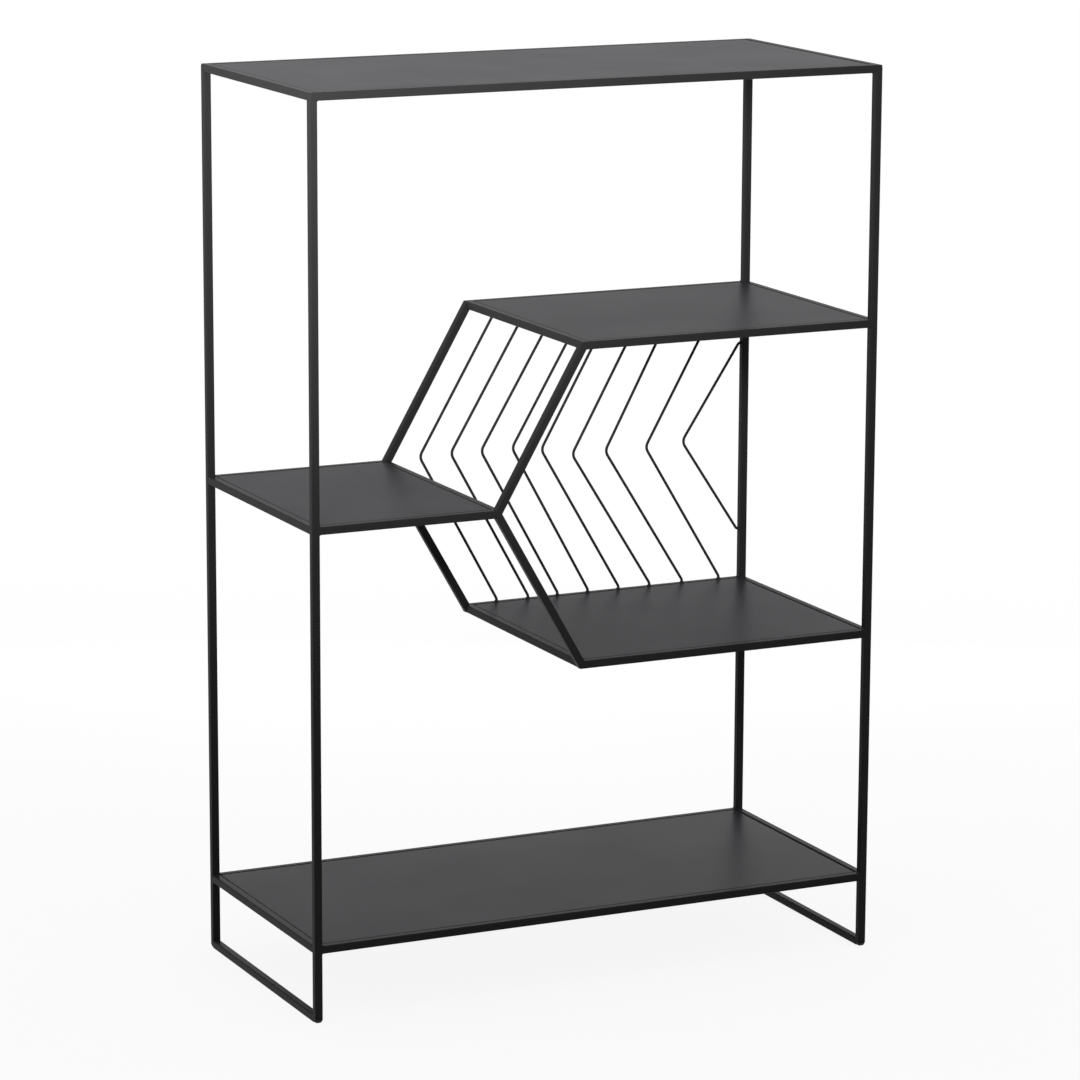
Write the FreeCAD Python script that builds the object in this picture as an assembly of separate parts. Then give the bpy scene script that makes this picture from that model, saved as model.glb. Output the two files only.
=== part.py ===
# Zigzag bookshelf: welded square-tube frame, folded sheet shelves and a fan of bent wires.
# Millimetres, +Z up, front towards -Y, origin on the floor at the middle of the footprint.
import math
import os

import FreeCAD
import Part

V = FreeCAD.Vector

# Overall size
width = 770.0
depth = 350.0
height = 1140.0

# Square tube of the frame: side, wall and outer corner radius
tube = 10.0
tube_wall = 1.0
tube_round = 1.5

# Shelf heights, measured to the tops of the rails
bottom_level = 98.0
middle_level = 620.0
zig_rise = 200.0

# Zigzag: place of its point from the left side, and the slope of its bars
point_from_left = 245.0
slant_angle = 60.0

# Folded sheet shelves
sheet = 1.0
sheet_lip = 8.0
sheet_bend = 2.0
sheet_corner = 2.4
sheet_drop = 0.2

# Slit between each shelf's right-hand edge and the rail beside it
slit_top = 2.0
slit_upper = 0.3
slit_middle = 0.3
slit_lower = 1.0
slit_bottom = 2.0

# Bent wires: thickness, bends and ends
wire_dia = 3.6
wire_bend = 12.0
wire_end_bend = 5.0
wire_stub = 0.6
wire_foot = 2.4

# Hand-bent wires: step across to each bend, its height over the zigzag's point,
# and how many degrees its upper and lower runs are steeper than the bars
wire_steps = (48.3, 44.0, 43.1, 44.5, 42.0, 44.9, 48.2, 59.2, 54.2, 86.6)
wire_lifts = (6.0, 7.0, 6.5, 7.0, 1.5, -8.5, -8.0, -7.5, -4.0)
wire_upper_turns = (-0.3, -0.7, -0.8, -0.4, 0.6, 1.0, 2.0, 0.6, -3.3)
wire_lower_turns = (0.9, 0.7, 0.7, 0.8, -0.6, -2.2, -2.2, -1.2, -3.7)

# Foot plugs and post caps
plug_head = 4.0
plug_stem = 12.0
plug_round = 3.4
plug_fit = 0.1
cap_thick = 2.4
cap_round = 1.9

# Derived places
half = tube / 2.0
left = -width / 2.0
right = width / 2.0
front = -depth / 2.0
back = depth / 2.0
in_left = left + tube
in_right = right - tube
in_front = front + tube
in_back = back - tube

upper_level = middle_level + zig_rise
lower_level = middle_level - zig_rise

slope = math.radians(slant_angle)
point_x = left + point_from_left
point_z = middle_level - half
knee_x = point_x + zig_rise / math.tan(slope)
knee_lap = half * math.tan(slope / 2.0)
reach = 2.0 * (width + depth + height)


def long_edges(solid, axis):
    # edges of a solid that run along one axis
    found = []
    for edge in solid.Edges:
        if isinstance(edge.Curve, Part.Line) and abs(edge.Curve.Direction.dot(axis)) > 0.999:
            found.append(edge)
    return found


def edges_at(solid, z):
    # edges of a solid that lie in one level plane
    found = []
    for edge in solid.Edges:
        box = edge.BoundBox
        if abs(box.ZMin - z) < 1e-6 and abs(box.ZMax - z) < 1e-6:
            found.append(edge)
    return found


def rounded_block(size_x, size_y, size_z, radius):
    # upright block with rounded corners, centred on the Z axis and standing on Z = 0
    block = Part.makeBox(size_x, size_y, size_z, V(-size_x / 2.0, -size_y / 2.0, 0.0))
    if radius <= 0.0:
        return block
    return block.makeFillet(radius, long_edges(block, V(0, 0, 1)))


def square_tube(length):
    outer = rounded_block(tube, tube, length, tube_round)
    bore = tube - 2.0 * tube_wall
    inner = rounded_block(bore, bore, length, max(tube_round - tube_wall, 0.0))
    return outer.cut(inner)


def place(shape, at, axis=V(0, 0, 1), degrees=0.0):
    moved = shape.copy()
    moved.Placement = FreeCAD.Placement(at, FreeCAD.Rotation(axis, degrees))
    return moved


def bar_x(x0, x1, y, z):
    return place(square_tube(x1 - x0), V(x0, y, z), V(0, 1, 0), 90.0)


def bar_y(y0, y1, x, z):
    return place(square_tube(y1 - y0), V(x, y0, z), V(1, 0, 0), -90.0)


def bar_z(z0, z1, x, y):
    return place(square_tube(z1 - z0), V(x, y, z0))


def trim(shape, at, normal):
    # takes away what lies in front of a plane whose normal has no Y part
    block = Part.makeBox(reach, reach, reach, V(-reach / 2.0, -reach / 2.0, 0.0))
    turn = math.degrees(math.atan2(normal.x, normal.z))
    return shape.cut(place(block, at, V(0, 1, 0), turn))


def knee_plane(side):
    # mitre plane where a zigzag bar meets its shelf rail; side is +1 above the point, -1 below
    at = V(knee_x, 0.0, point_z + side * zig_rise)
    normal = V(math.cos(slope / 2.0), 0.0, side * math.sin(slope / 2.0))
    return at, normal


def slant(side, y):
    # zigzag bar from the point to a knee, mitred at both ends
    spare = 2.0 * tube
    length = zig_rise / math.sin(slope) + 2.0 * spare
    start = V(point_x - spare * math.cos(slope), y, point_z - side * spare * math.sin(slope))
    turn = 90.0 - side * slant_angle
    bar = place(square_tube(length), start, V(0, 1, 0), turn)
    at, normal = knee_plane(side)
    bar = trim(bar, at, normal)
    return trim(bar, V(point_x, 0.0, point_z), V(0, 0, -side))


def knee_rail(side, y):
    # shelf rail from a knee to the right-hand post, mitred onto the zigzag bar
    z = point_z + side * zig_rise
    bar = bar_x(knee_x - tube, in_right, y, z)
    at, normal = knee_plane(side)
    return trim(bar, at, normal * -1.0)


def point_rail(y):
    # middle shelf rail, notched to sit against both bars at the zigzag's point
    bar = bar_x(in_left, point_x + half, y, point_z)
    tip = point_x - half / math.sin(slope)
    run = tube / math.tan(slope)
    far = point_x + 2.0 * tube + run
    outline = [
        V(tip, y - tube, point_z),
        V(tip + run, y - tube, point_z + tube),
        V(far, y - tube, point_z + tube),
        V(far, y - tube, point_z - tube),
        V(tip + run, y - tube, point_z - tube),
        V(tip, y - tube, point_z),
    ]
    notch = Part.Face(Part.makePolygon(outline)).extrude(V(0.0, 2.0 * tube, 0.0))
    return bar.cut(notch)


def panel(x0, rail_x, slit, level):
    # sheet shelf with its edges folded down, set inside the rails with a slit at its right-hand end
    x1 = rail_x - slit
    size_x = x1 - x0
    size_y = in_back - in_front
    corner = max(sheet_corner, sheet_bend)
    outer = rounded_block(size_x, size_y, sheet_lip, corner)
    outer = outer.makeFillet(sheet_bend, edges_at(outer, sheet_lip))
    inner_round = max(corner - sheet, 0.2)
    inner_bend = max(sheet_bend - sheet, 0.2)
    inner = rounded_block(size_x - 2.0 * sheet, size_y - 2.0 * sheet, sheet_lip - sheet, inner_round)
    inner = inner.makeFillet(inner_bend, edges_at(inner, sheet_lip - sheet))
    tray = outer.cut(inner)
    middle_y = (in_front + in_back) / 2.0
    return place(tray, V((x0 + x1) / 2.0, middle_y, level - sheet_drop - sheet_lip))


def bent_rod(points, radii):
    # round rod along a bent line in an XZ plane, with a radius at each inner point
    edges = []
    start = points[0]
    for i in range(1, len(points) - 1):
        into = (points[i] - points[i - 1]).normalize()
        away = (points[i + 1] - points[i]).normalize()
        turn = into.getAngle(away)
        tangent = radii[i - 1] * math.tan(turn / 2.0)
        arc_in = points[i] - into * tangent
        arc_out = points[i] + away * tangent
        bisector = (away - into).normalize()
        centre = points[i] + bisector * (radii[i - 1] / math.cos(turn / 2.0))
        mid = centre - bisector * radii[i - 1]
        edges.append(Part.makeLine(start, arc_in))
        edges.append(Part.Arc(arc_in, mid, arc_out).toShape())
        start = arc_out
    edges.append(Part.makeLine(start, points[-1]))
    path = Part.Wire(edges)
    ring = Part.Wire(Part.makeCircle(wire_dia / 2.0, points[0], (points[1] - points[0])))
    return path.makePipeShell([ring], True, False)


def chevron(x, lift, upper_turn, lower_turn):
    # bent wire whose straight runs cross at x
    # its ends turn square onto the shelf rails, or onto the post if that is nearer
    y = back - half
    bend_z = point_z + lift
    ends = []
    for side, turn, rail_z in ((-1, lower_turn, lower_level), (1, upper_turn, upper_level - tube)):
        lean = slope + math.radians(turn)
        room = side * (rail_z - bend_z)
        if x + room / math.tan(lean) + 2.0 * wire_dia < in_right:
            foot = wire_foot + wire_end_bend * math.tan((math.pi / 2.0 - lean) / 2.0)
            end_x = x + (room - foot) / math.tan(lean)
            ends.append([V(end_x, y, rail_z), V(end_x, y, rail_z - side * foot)])
        else:
            turn_x = in_right - wire_stub - wire_end_bend * math.tan(lean / 2.0)
            turn_z = bend_z + side * (turn_x - x) * math.tan(lean)
            ends.append([V(in_right, y, turn_z), V(turn_x, y, turn_z)])
    points = ends[0] + [V(x, y, bend_z)] + ends[1][::-1]
    return bent_rod(points, [wire_end_bend, wire_bend, wire_end_bend])


def foot_plug():
    head_round = min(plug_round, plug_head - 0.2)
    head = rounded_block(tube, tube, plug_head, max(tube_round, head_round + 0.2))
    head = head.makeFillet(head_round, edges_at(head, 0.0))
    side = tube - 2.0 * (tube_wall + plug_fit)
    stem = rounded_block(side, side, plug_stem, max(tube_round - tube_wall - plug_fit, 0.2))
    stem.translate(V(0.0, 0.0, plug_head))
    return head.fuse(stem).removeSplitter()


def post_cap():
    edge_round = min(cap_round, cap_thick - 0.2)
    cap = rounded_block(tube, tube, cap_thick, max(tube_round, edge_round + 0.1))
    return cap.makeFillet(edge_round, edges_at(cap, cap_thick))


nodes = {}

# Posts with their plugs and caps
for end, y in (("front", front + half), ("back", back - half)):
    for hand, x in (("left", left + half), ("right", right - half)):
        nodes["post_%s_%s" % (end, hand)] = bar_z(plug_head, height - cap_thick, x, y)
        nodes["plug_%s_%s" % (end, hand)] = place(foot_plug(), V(x, y, 0.0))
        nodes["cap_%s_%s" % (end, hand)] = place(post_cap(), V(x, y, height - cap_thick))

# Floor runners
for hand, x in (("left", left + half), ("right", right - half)):
    nodes["runner_%s" % hand] = bar_y(in_front, in_back, x, half)

# Full-width shelves
for name, level, slit in (("top", height, slit_top), ("bottom", bottom_level, slit_bottom)):
    z = level - half
    nodes[name + "_rail_front"] = bar_x(in_left, in_right, front + half, z)
    nodes[name + "_rail_back"] = bar_x(in_left, in_right, back - half, z)
    nodes[name + "_rail_left"] = bar_y(in_front, in_back, left + half, z)
    nodes[name + "_rail_right"] = bar_y(in_front, in_back, right - half, z)
    nodes[name + "_panel"] = panel(in_left, in_right, slit, level)

# Middle shelf, from the left-hand posts to the zigzag's point
nodes["middle_rail_front"] = point_rail(front + half)
nodes["middle_rail_back"] = point_rail(back - half)
nodes["middle_rail_left"] = bar_y(in_front, in_back, left + half, point_z)
nodes["middle_rail_right"] = bar_y(in_front, in_back, point_x, point_z)
nodes["middle_panel"] = panel(in_left, point_x - half, slit_middle, middle_level)

# Upper and lower shelves, from the knees to the right-hand posts
cross_x = knee_x - knee_lap + half
side_shelves = (("upper", 1, upper_level, slit_upper), ("lower", -1, lower_level, slit_lower))
for name, side, level, slit in side_shelves:
    z = level - half
    nodes[name + "_rail_front"] = knee_rail(side, front + half)
    nodes[name + "_rail_back"] = knee_rail(side, back - half)
    nodes[name + "_rail_left"] = bar_y(in_front, in_back, cross_x, z)
    nodes[name + "_rail_right"] = bar_y(in_front, in_back, right - half, z)
    nodes[name + "_panel"] = panel(cross_x + half, in_right, slit, level)

# Zigzag bars
for end, y in (("front", front + half), ("back", back - half)):
    nodes["slant_%s_upper" % end] = slant(1, y)
    nodes["slant_%s_lower" % end] = slant(-1, y)

# Wires, set out across the space between the zigzag's point and the right-hand post
stretch = (in_right - point_x) / sum(wire_steps)
wire_x = point_x
wire_shapes = zip(wire_steps, wire_lifts, wire_upper_turns, wire_lower_turns)
for number, (step, lift, upper_turn, lower_turn) in enumerate(wire_shapes, 1):
    wire_x = wire_x + step * stretch
    nodes["wire_%d" % number] = chevron(wire_x, lift, upper_turn, lower_turn)

os.makedirs("parts", exist_ok=True)
for name, shape in nodes.items():
    if not shape.isValid() or shape.Volume <= 0.0 or len(shape.Solids) != 1:
        raise ValueError("%s is not one sound solid" % name)
    shape.exportStep("parts/%s.step" % name)
    box = shape.BoundBox
    print("%-22s %9.1f mm3  z %7.1f to %7.1f" % (name, shape.Volume, box.ZMin, box.ZMax))
print("%d nodes" % len(nodes))
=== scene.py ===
import math

import bpy
from mathutils import Matrix, Quaternion, Vector


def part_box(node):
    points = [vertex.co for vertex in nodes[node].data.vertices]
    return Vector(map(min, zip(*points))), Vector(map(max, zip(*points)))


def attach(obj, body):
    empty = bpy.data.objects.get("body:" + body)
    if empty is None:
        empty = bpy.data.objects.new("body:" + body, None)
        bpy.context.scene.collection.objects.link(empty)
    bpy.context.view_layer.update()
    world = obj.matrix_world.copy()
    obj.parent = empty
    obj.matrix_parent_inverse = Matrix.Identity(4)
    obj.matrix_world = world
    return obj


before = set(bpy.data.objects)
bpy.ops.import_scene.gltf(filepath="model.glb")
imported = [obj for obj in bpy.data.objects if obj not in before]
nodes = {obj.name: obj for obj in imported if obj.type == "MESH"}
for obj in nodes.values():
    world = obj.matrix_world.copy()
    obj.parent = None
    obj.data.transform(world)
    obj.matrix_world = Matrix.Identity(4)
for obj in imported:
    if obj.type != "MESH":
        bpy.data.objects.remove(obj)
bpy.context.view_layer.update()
print("frame loaded,", len(nodes), "nodes")

axisX = Vector((1.0, 0.0, 0.0))
axisY = Vector((0.0, 1.0, 0.0))
axisZ = Vector((0.0, 0.0, 1.0))
bothWays = (-1.0, 1.0)
facing = 0.9  # cosine above which a face counts as turned a given way
touch = 0.0001  # distance within which a point counts as lying on a face


def dropSelection():
    # the loaded nodes come in selected, so every operator starts from nothing
    if bpy.context.mode != "OBJECT":
        bpy.ops.object.mode_set(mode="OBJECT")
    bpy.ops.object.select_all(action="DESELECT")


def pickOnly(piece):
    dropSelection()
    piece.select_set(True)
    bpy.context.view_layer.objects.active = piece


def pickEdges(piece, wanted):
    # in edit mode, leaves only the edges whose two ends pass the test selected
    bpy.ops.mesh.select_mode(type="EDGE")
    bpy.ops.mesh.select_all(action="DESELECT")
    bpy.ops.object.mode_set(mode="OBJECT")
    mesh = piece.data
    for edge in mesh.edges:
        a, b = (mesh.vertices[i].co for i in edge.vertices)
        edge.select = wanted(a, b)
    bpy.ops.object.mode_set(mode="EDIT")


def pickFaces(piece, wanted):
    # in edit mode, leaves only the faces whose normal passes the test selected
    bpy.ops.mesh.select_mode(type="FACE")
    bpy.ops.mesh.select_all(action="DESELECT")
    bpy.ops.object.mode_set(mode="OBJECT")
    for face in piece.data.polygons:
        face.select = wanted(face.normal)
    bpy.ops.object.mode_set(mode="EDIT")


def smoothOver(degrees):
    # leaves edit mode and shades the active piece smooth, apart from edges sharper than this
    bpy.ops.object.mode_set(mode="OBJECT")
    bpy.ops.object.shade_smooth_by_angle(angle=math.radians(degrees))


def copyTo(pattern, at, along, up):
    # one more of a pattern, its own X turned to along and its own Z to up, place kept in the mesh
    pickOnly(pattern)
    bpy.ops.object.duplicate()
    twin = bpy.context.object
    turn = Matrix((along, up.cross(along), up)).transposed().to_4x4()
    twin.matrix_world = Matrix.Translation(at) @ turn
    bpy.ops.object.transform_apply(location=True, rotation=True, scale=True)
    return twin


def joinAs(name, parts):
    dropSelection()
    for part in parts:
        part.select_set(True)
    bpy.context.view_layer.objects.active = parts[0]
    bpy.ops.object.join()
    piece = bpy.context.object
    piece.name = name
    piece.data.name = name
    return piece


def putCoat(piece, coat):
    piece.data.materials.clear()
    piece.data.materials.append(coat)


def middleOf(points):
    return sum(points, Vector()) / len(points)


# camera, standing a little above and to the left of the front
cameraPlace = {
    "aim": (-0.0032, -0.0060, 0.5382),
    "azimuth": -25.540,
    "elevation": 12.172,
    "roll": 0.242,
    "distance": 5.720,
    "lens": 150.67,
    "sensor": 36.0,
    "sight": 200.0,
}


def setCamera(place):
    turnRound = math.radians(place["azimuth"])
    lift = math.radians(place["elevation"])
    backwards = Vector((
        math.sin(turnRound) * math.cos(lift),
        -math.cos(turnRound) * math.cos(lift),
        math.sin(lift),
    ))
    bpy.ops.object.camera_add(location=Vector(place["aim"]) + backwards * place["distance"])
    camera = bpy.context.object
    level = backwards.to_track_quat("Z", "Y")
    camera.rotation_mode = "QUATERNION"
    camera.rotation_quaternion = level @ Quaternion(axisZ, math.radians(place["roll"]))
    camera.data.lens = place["lens"]
    camera.data.sensor_width = place["sensor"]
    camera.data.clip_end = place["sight"]
    bpy.context.scene.camera = camera


dropSelection()
setCamera(cameraPlace)
print("camera set")


# floor, surroundings and light
floorLook = {
    "size": 120.0,
    "cuts": 4,
    "colour": (0.20, 0.20, 0.20, 1.0),
    "nearGlow": 0.89,
    "farGlow": 0.93,
    "nearEdge": 0.6,
    "farEdge": 3.5,
}
roomLook = {"colour": (1.0, 1.0, 1.0, 1.0), "white": 1.0, "fill": 0.38}

# narrow softbox at the left front, aimed just above the top shelf
keyLight = {
    "place": (-1.50, -1.65, 1.40),
    "aim": (-0.27, 0.0, 1.30),
    "wide": 0.6,
    "high": 0.4,
    "spread": 50.0,
    "power": 6.2,
}

# long low softbox behind, for the bottom shelf
backLight = {
    "place": (0.70, 1.50, 0.36),
    "aim": (0.0, 0.0, 0.10),
    "wide": 1.8,
    "high": 0.30,
    "spread": 180.0,
    "power": 1.6,
}


def mathNode(tree, operation):
    node = tree.nodes.new("ShaderNodeMath")
    node.operation = operation
    return node


def seenMask(tree):
    # 1 for rays that see the surroundings directly, in a reflection or through something clear
    path = tree.nodes.new("ShaderNodeLightPath")
    both = mathNode(tree, "MAXIMUM")
    allThree = mathNode(tree, "MAXIMUM")
    tree.links.new(path.outputs["Is Camera Ray"], both.inputs[0])
    tree.links.new(path.outputs["Is Glossy Ray"], both.inputs[1])
    tree.links.new(both.outputs[0], allThree.inputs[0])
    tree.links.new(path.outputs["Is Transmission Ray"], allThree.inputs[1])
    return allThree.outputs[0]


def makeFloor(look):
    bpy.ops.mesh.primitive_grid_add(
        x_subdivisions=look["cuts"], y_subdivisions=look["cuts"], size=look["size"])
    floor = bpy.context.object
    floor.name = "studioFloor"
    paint = bpy.data.materials.new("studioFloor")
    paint.use_nodes = True
    tree = paint.node_tree
    tree.nodes.clear()
    out = tree.nodes.new("ShaderNodeOutputMaterial")
    both = tree.nodes.new("ShaderNodeAddShader")
    matt = tree.nodes.new("ShaderNodeBsdfDiffuse")
    matt.inputs["Color"].default_value = look["colour"]
    glow = tree.nodes.new("ShaderNodeEmission")
    # the glow grows with distance, so that the floor runs into the surroundings with no line
    place = tree.nodes.new("ShaderNodeTexCoord")
    reach = tree.nodes.new("ShaderNodeVectorMath")
    reach.operation = "LENGTH"
    ramp = tree.nodes.new("ShaderNodeMapRange")
    ramp.interpolation_type = "SMOOTHSTEP"
    ramp.inputs["From Min"].default_value = look["nearEdge"]
    ramp.inputs["From Max"].default_value = look["farEdge"]
    ramp.inputs["To Min"].default_value = look["nearGlow"]
    ramp.inputs["To Max"].default_value = look["farGlow"]
    shown = mathNode(tree, "MULTIPLY")
    tree.links.new(place.outputs["Object"], reach.inputs[0])
    tree.links.new(reach.outputs["Value"], ramp.inputs["Value"])
    tree.links.new(ramp.outputs["Result"], shown.inputs[0])
    tree.links.new(seenMask(tree), shown.inputs[1])
    tree.links.new(shown.outputs[0], glow.inputs["Strength"])
    tree.links.new(matt.outputs[0], both.inputs[0])
    tree.links.new(glow.outputs[0], both.inputs[1])
    tree.links.new(both.outputs[0], out.inputs["Surface"])
    paint.cycles.emission_sampling = "NONE"
    floor.data.materials.append(paint)


def makeRoom(look):
    world = bpy.data.worlds.new("studioRoom")
    bpy.context.scene.world = world
    world.use_nodes = True
    tree = world.node_tree
    tree.nodes.clear()
    out = tree.nodes.new("ShaderNodeOutputWorld")
    sky = tree.nodes.new("ShaderNodeBackground")
    sky.inputs["Color"].default_value = look["colour"]
    # white where it is seen, the fill where it only lights
    level = mathNode(tree, "MULTIPLY_ADD")
    level.inputs[1].default_value = look["white"] - look["fill"]
    level.inputs[2].default_value = look["fill"]
    tree.links.new(seenMask(tree), level.inputs[0])
    tree.links.new(level.outputs[0], sky.inputs["Strength"])
    tree.links.new(sky.outputs[0], out.inputs["Surface"])
    world.cycles.sampling_method = "NONE"


def addSoftbox(name, light):
    bpy.ops.object.light_add(type="AREA", location=light["place"])
    lamp = bpy.context.object
    lamp.name = name
    lamp.data.shape = "RECTANGLE"
    lamp.data.size = light["wide"]
    lamp.data.size_y = light["high"]
    lamp.data.spread = math.radians(light["spread"])
    lamp.data.energy = light["power"]
    towards = Vector(light["aim"]) - Vector(light["place"])
    lamp.rotation_euler = towards.to_track_quat("-Z", "Y").to_euler()
    lamp.visible_camera = False


dropSelection()
makeFloor(floorLook)
makeRoom(roomLook)
addSoftbox("keySoftbox", keyLight)
addSoftbox("backSoftbox", backLight)
bpy.context.scene.view_settings.view_transform = "Standard"
print("floor and light set")


# powder coat: fine pebbled skin over slow drifts of tone and gloss
grainLook = {
    "pebbleDetail": 2.0,
    "pebbleRoughness": 0.55,
    "pebbleShare": 0.45,
    "driftDetail": 3.0,
    "driftRoughness": 0.5,
    "driftShare": 0.55,
}
grainSockets = {
    "INPUT": (
        ("Deep Tone", "NodeSocketColor"),
        ("Light Tone", "NodeSocketColor"),
        ("Low Gloss", "NodeSocketFloat"),
        ("High Gloss", "NodeSocketFloat"),
        ("Pebble Scale", "NodeSocketFloat"),
        ("Drift Scale", "NodeSocketFloat"),
    ),
    "OUTPUT": (
        ("Colour", "NodeSocketColor"),
        ("Roughness", "NodeSocketFloat"),
        ("Height", "NodeSocketFloat"),
    ),
}


def noiseNode(tree, detail, roughness):
    node = tree.nodes.new("ShaderNodeTexNoise")
    node.inputs["Detail"].default_value = detail
    node.inputs["Roughness"].default_value = roughness
    return node


def makeCoatGrain(look, sockets):
    group = bpy.data.node_groups.new("coatGrain", "ShaderNodeTree")
    for side, wanted in sockets.items():
        for name, kind in wanted:
            group.interface.new_socket(name=name, in_out=side, socket_type=kind)
    given = group.nodes.new("NodeGroupInput")
    put = group.nodes.new("NodeGroupOutput")
    place = group.nodes.new("ShaderNodeTexCoord")
    pebble = noiseNode(group, look["pebbleDetail"], look["pebbleRoughness"])
    drift = noiseNode(group, look["driftDetail"], look["driftRoughness"])
    blend = mathNode(group, "MULTIPLY_ADD")
    blend.inputs[1].default_value = look["pebbleShare"]
    driftPart = mathNode(group, "MULTIPLY")
    driftPart.inputs[1].default_value = look["driftShare"]
    tone = group.nodes.new("ShaderNodeMix")
    tone.data_type = "RGBA"
    gloss = group.nodes.new("ShaderNodeMix")
    gloss.data_type = "FLOAT"
    link = group.links.new
    link(place.outputs["Object"], pebble.inputs["Vector"])
    link(place.outputs["Object"], drift.inputs["Vector"])
    link(given.outputs["Pebble Scale"], pebble.inputs["Scale"])
    link(given.outputs["Drift Scale"], drift.inputs["Scale"])
    link(drift.outputs["Fac"], driftPart.inputs[0])
    link(pebble.outputs["Fac"], blend.inputs[0])
    link(driftPart.outputs[0], blend.inputs[2])
    link(blend.outputs[0], tone.inputs["Factor"])
    link(given.outputs["Deep Tone"], tone.inputs["A"])
    link(given.outputs["Light Tone"], tone.inputs["B"])
    link(drift.outputs["Fac"], gloss.inputs["Factor"])
    link(given.outputs["Low Gloss"], gloss.inputs["A"])
    link(given.outputs["High Gloss"], gloss.inputs["B"])
    link(tone.outputs["Result"], put.inputs["Colour"])
    link(gloss.outputs["Result"], put.inputs["Roughness"])
    link(pebble.outputs["Fac"], put.inputs["Height"])
    return group


coatGrain = makeCoatGrain(grainLook, grainSockets)


def makeCoat(name, look):
    coat = bpy.data.materials.new(name)
    coat.use_nodes = True
    tree = coat.node_tree
    skin = tree.nodes["Principled BSDF"]
    grain = tree.nodes.new("ShaderNodeGroup")
    grain.node_tree = coatGrain
    for socket, value in look["grain"].items():
        grain.inputs[socket].default_value = value
    pits = tree.nodes.new("ShaderNodeBump")
    pits.inputs["Strength"].default_value = look["pitStrength"]
    pits.inputs["Distance"].default_value = look["pitDepth"]
    tree.links.new(grain.outputs["Colour"], skin.inputs["Base Color"])
    tree.links.new(grain.outputs["Roughness"], skin.inputs["Roughness"])
    tree.links.new(grain.outputs["Height"], pits.inputs["Height"])
    tree.links.new(pits.outputs["Normal"], skin.inputs["Normal"])
    skin.inputs["IOR"].default_value = look["ior"]
    return coat


frameCoat = makeCoat("frameCoat", {
    "grain": {
        "Deep Tone": (0.030, 0.030, 0.031, 1.0),
        "Light Tone": (0.040, 0.040, 0.041, 1.0),
        "Low Gloss": 0.38,
        "High Gloss": 0.32,
        "Pebble Scale": 1100.0,
        "Drift Scale": 16.0,
    },
    "pitStrength": 0.12,
    "pitDepth": 0.00012,
    "ior": 1.092,
})
shelfCoat = makeCoat("shelfCoat", {
    "grain": {
        "Deep Tone": (0.0322, 0.0309, 0.0374, 1.0),
        "Light Tone": (0.0421, 0.0403, 0.0485, 1.0),
        "Low Gloss": 0.42,
        "High Gloss": 0.36,
        "Pebble Scale": 900.0,
        "Drift Scale": 9.0,
    },
    "pitStrength": 0.10,
    "pitDepth": 0.00012,
    "ior": 1.115,
})
wireCoat = makeCoat("wireCoat", {
    "grain": {
        "Deep Tone": (0.034, 0.034, 0.035, 1.0),
        "Light Tone": (0.046, 0.046, 0.047, 1.0),
        "Low Gloss": 0.56,
        "High Gloss": 0.48,
        "Pebble Scale": 1400.0,
        "Drift Scale": 24.0,
    },
    "pitStrength": 0.10,
    "pitDepth": 0.00010,
    "ior": 1.11,
})
footPlastic = makeCoat("footPlastic", {
    "grain": {
        "Deep Tone": (0.016, 0.016, 0.016, 1.0),
        "Light Tone": (0.024, 0.024, 0.024, 1.0),
        "Low Gloss": 0.66,
        "High Gloss": 0.58,
        "Pebble Scale": 2200.0,
        "Drift Scale": 40.0,
    },
    "pitStrength": 0.18,
    "pitDepth": 0.00010,
    "ior": 1.35,
})


def finishFor(name):
    if name.startswith("wire_"):
        return wireCoat
    if name.endswith("_panel"):
        return shelfCoat
    if name.startswith("plug_"):
        return footPlastic
    return frameCoat


for name, node in nodes.items():
    putCoat(node, finishFor(name))
print("coats on")


# weld ground flush where a tube's end meets the rounded edges of the tube it butts on
flushWeld = {
    "side": 0.010,
    "depth": 0.0015,
    "round": 0.0015,
    "steps": 4,
    "sink": 0.00002,
    "crease": 40.0,
}


def makeFlushWeld(size):
    dropSelection()
    bpy.ops.mesh.primitive_cube_add(size=1.0, location=(-size["depth"] / 2.0, 0.0, 0.0))
    weld = bpy.context.object
    across = size["side"] - 2.0 * size["sink"]
    bpy.ops.transform.resize(value=(size["depth"], across, across))
    bpy.ops.object.transform_apply(location=True, rotation=True, scale=True)
    bpy.ops.object.mode_set(mode="EDIT")
    pickEdges(weld, lambda a, b: abs(a.x - b.x) > size["depth"] / 2.0)
    bpy.ops.mesh.bevel(offset=size["round"] - size["sink"], segments=size["steps"], affect="EDGES")
    smoothOver(size["crease"])
    return weld


# hollow weld in the inner corner between a tube's flat side and its neighbour
cornerWeld = {
    "leg": 0.0024,
    "length": 0.0066,
    "bed": 0.0003,
    "bite": 0.94,  # share of the leg that the hollow takes away
    "hollow": 0.14,
    "steps": 5,
    "fade": 0.72,
    "crease": 50.0,
}


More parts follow.
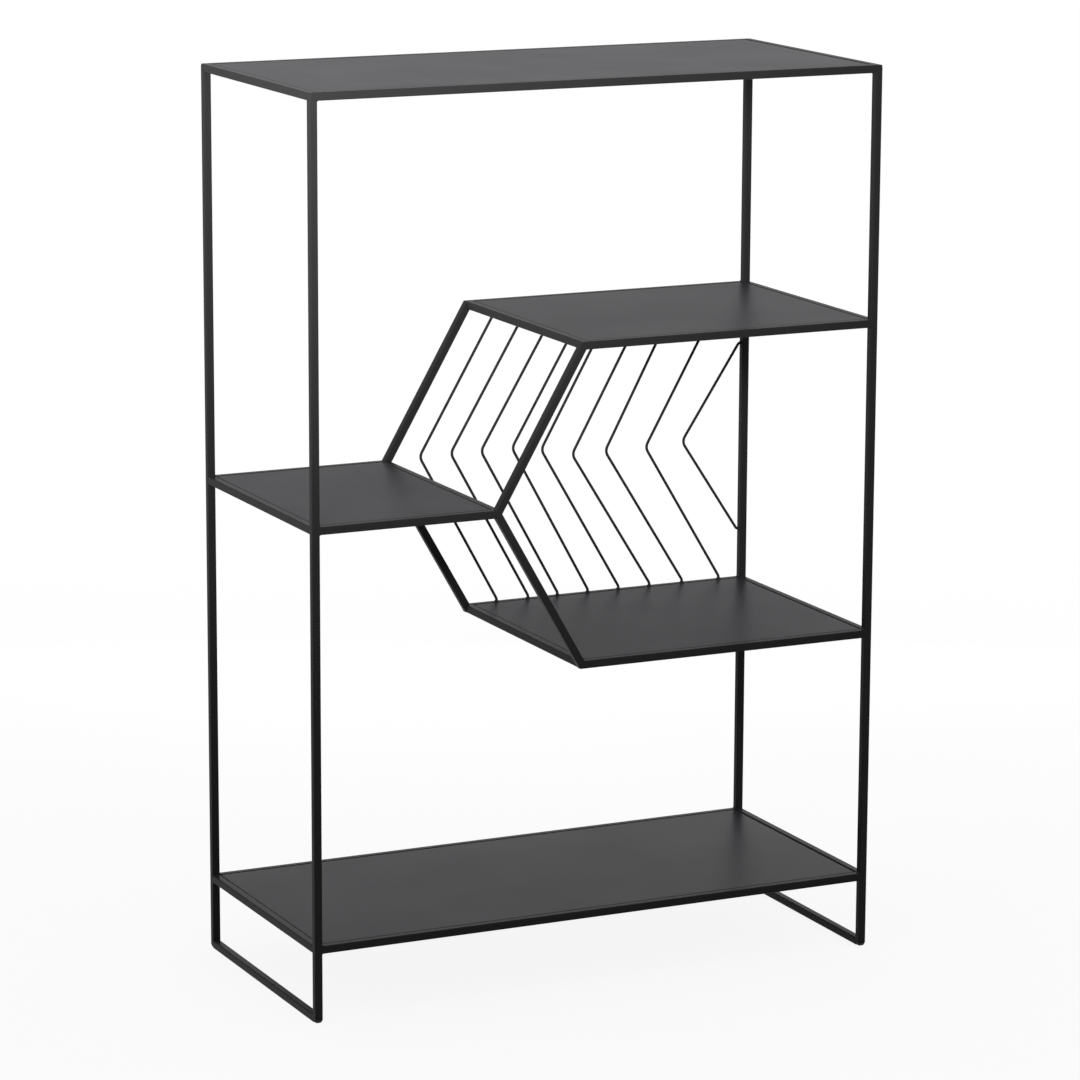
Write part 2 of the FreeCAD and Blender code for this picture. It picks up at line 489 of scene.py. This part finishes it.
def makeCornerWeld(size):
    dropSelection()
    whole = size["leg"] + size["bed"]
    middle = whole / 2.0 - size["bed"]
    bpy.ops.mesh.primitive_cube_add(size=1.0, location=(middle, 0.0, middle))
    weld = bpy.context.object
    bpy.ops.transform.resize(value=(whole, size["length"], whole))
    bpy.ops.object.transform_apply(location=True, rotation=True, scale=True)
    bpy.ops.object.mode_set(mode="EDIT")
    pickEdges(weld, lambda a, b: min(a.x, b.x, a.z, b.z) > 0.0)  # the edge away from both tubes
    bpy.ops.mesh.bevel(
        offset=size["leg"] * size["bite"], segments=size["steps"], profile=size["hollow"],
        affect="EDGES")
    for way in bothWays:
        pickFaces(weld, lambda normal: normal.y * way > facing)
        bpy.ops.transform.resize(
            value=(size["fade"], 1.0, size["fade"]), center_override=(0.0, 0.0, 0.0))
    smoothOver(size["crease"])
    return weld


# small collar of weld round a wire's end, each rise with how much it narrows
wireCollar = {
    "foot": 0.0032,
    "sides": 20,
    "bed": 0.0003,
    "rises": ((0.0005, 0.80), (0.0006, 0.84), (0.0008, 0.89)),
    "crease": 60.0,
}


def makeWireCollar(size):
    dropSelection()
    bpy.ops.mesh.primitive_cylinder_add(
        vertices=size["sides"], radius=size["foot"], depth=2.0 * size["bed"], location=(0.0, 0.0, 0.0))
    collar = bpy.context.object
    bpy.ops.object.mode_set(mode="EDIT")
    pickFaces(collar, lambda normal: normal.z > facing)
    for rise, narrow in size["rises"]:
        bpy.ops.mesh.extrude_region_move(TRANSFORM_OT_translate={"value": (0.0, 0.0, rise)})
        bpy.ops.transform.resize(value=(narrow, narrow, 1.0))
    smoothOver(size["crease"])
    return collar


flushPattern = makeFlushWeld(flushWeld)
cornerPattern = makeCornerWeld(cornerWeld)
collarPattern = makeWireCollar(wireCollar)

# which ends of each tube are welded, and on which sides the corner is open
weldPlan = {
    "weldsTop": {
        "top_rail_front": ("both", "under"), "top_rail_back": ("both", "under"),
        "top_rail_left": ("both", "under"), "top_rail_right": ("both", "under"),
    },
    "weldsUpper": {
        "upper_rail_front": ("far", "over under"), "upper_rail_back": ("far", "over under"),
        "upper_rail_left": ("both", ""), "upper_rail_right": ("both", "over under"),
    },
    "weldsMiddle": {
        "middle_rail_front": ("near", "over under"), "middle_rail_back": ("near", "over under"),
        "middle_rail_left": ("both", "over under"), "middle_rail_right": ("both", ""),
    },
    "weldsLower": {
        "lower_rail_front": ("far", "over under"), "lower_rail_back": ("far", "over under"),
        "lower_rail_left": ("both", ""), "lower_rail_right": ("both", "over under"),
    },
    "weldsBottom": {
        "bottom_rail_front": ("both", "over under"), "bottom_rail_back": ("both", "over under"),
        "bottom_rail_left": ("both", "over under"), "bottom_rail_right": ("both", "over under"),
    },
    "weldsRunner": {"runner_left": ("both", "over"), "runner_right": ("both", "over")},
}


def tubeWelds(name, ends, sides):
    low, high = (Vector(corner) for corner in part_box(name))
    span = high - low
    along = axisX if span.x > span.y else axisY
    middle = (low + high) / 2.0
    half = along * (span.dot(along) / 2.0)
    made = []
    for label, at, inwards in (("near", middle - half, along), ("far", middle + half, -along)):
        if ends not in ("both", label):
            continue
        made.append(copyTo(flushPattern, at, inwards, axisZ))
        for side, up in (("over", axisZ), ("under", -axisZ)):
            if side in sides.split():
                made.append(copyTo(cornerPattern, at + up * (span.z / 2.0), inwards, up))
    return made


for pieceName, plan in weldPlan.items():
    welds = []
    for tubeName, (ends, sides) in plan.items():
        welds.extend(tubeWelds(tubeName, ends, sides))
    piece = joinAs(pieceName, welds)
    putCoat(piece, frameCoat)
    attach(piece, "root")
print("tube welds made,", len(weldPlan), "pieces")

# run of weld low in the slit between each shelf's folded edge and its right-hand rail
seamWeld = {
    "shelves": ("top", "upper", "middle", "lower", "bottom"),
    "bed": 0.0003,
    "sides": 12,
    "below": 0.0055,
    "shy": 0.0012,
    "taper": 0.0014,
    "tip": 0.85,
    "crease": 50.0,
}


def makeSeam(size, shelf):
    low, high = (Vector(corner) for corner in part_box(shelf + "_panel"))
    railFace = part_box(shelf + "_rail_right")[0][0]
    radius = (railFace - high.x) / 2.0 + size["bed"]
    length = high.y - low.y - 2.0 * size["shy"]
    at = ((high.x + railFace) / 2.0, (low.y + high.y) / 2.0, high.z - size["below"])
    dropSelection()
    bpy.ops.mesh.primitive_cylinder_add(
        vertices=size["sides"], radius=radius, depth=length, location=at,
        rotation=(math.pi / 2.0, 0.0, 0.0))
    seam = bpy.context.object
    bpy.ops.object.transform_apply(location=True, rotation=True, scale=True)
    bpy.ops.object.mode_set(mode="EDIT")
    for way in bothWays:
        pickFaces(seam, lambda normal: normal.y * way > facing)
        bpy.ops.mesh.extrude_region_move(
            TRANSFORM_OT_translate={"value": (0.0, way * size["taper"], 0.0)})
        bpy.ops.transform.resize(value=(size["tip"], 1.0, size["tip"]))
    smoothOver(size["crease"])
    return seam


shelfWelds = joinAs("weldsShelf", [makeSeam(seamWeld, shelf) for shelf in seamWeld["shelves"]])
putCoat(shelfWelds, frameCoat)
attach(shelfWelds, "root")
print("shelf welds made")

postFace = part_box("post_back_right")[0][0]


def wireCollars(name):
    low, high = (Vector(corner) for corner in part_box(name))
    points = [vertex.co for vertex in nodes[name].data.vertices]
    onPost = [point for point in points if point.x > postFace - touch]
    if onPost:  # the short wire, whose two ends are both on the post
        level = (low.z + high.z) / 2.0
        foot = middleOf([point for point in onPost if point.z < level])
        head = middleOf([point for point in onPost if point.z > level])
        return [copyTo(collarPattern, end, axisY, -axisX) for end in (foot, head)]
    foot = middleOf([point for point in points if point.z < low.z + touch])
    head = middleOf([point for point in points if point.z > high.z - touch])
    return [copyTo(collarPattern, foot, axisX, axisZ), copyTo(collarPattern, head, axisX, -axisZ)]


collars = []
for name in sorted(n for n in nodes if n.startswith("wire_")):
    collars.extend(wireCollars(name))
wireWelds = joinAs("wireWelds", collars)
putCoat(wireWelds, wireCoat)
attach(wireWelds, "root")
print("wire welds made,", len(collars))

for pattern in (flushPattern, cornerPattern, collarPattern):
    bpy.data.objects.remove(pattern)

dropSelection()
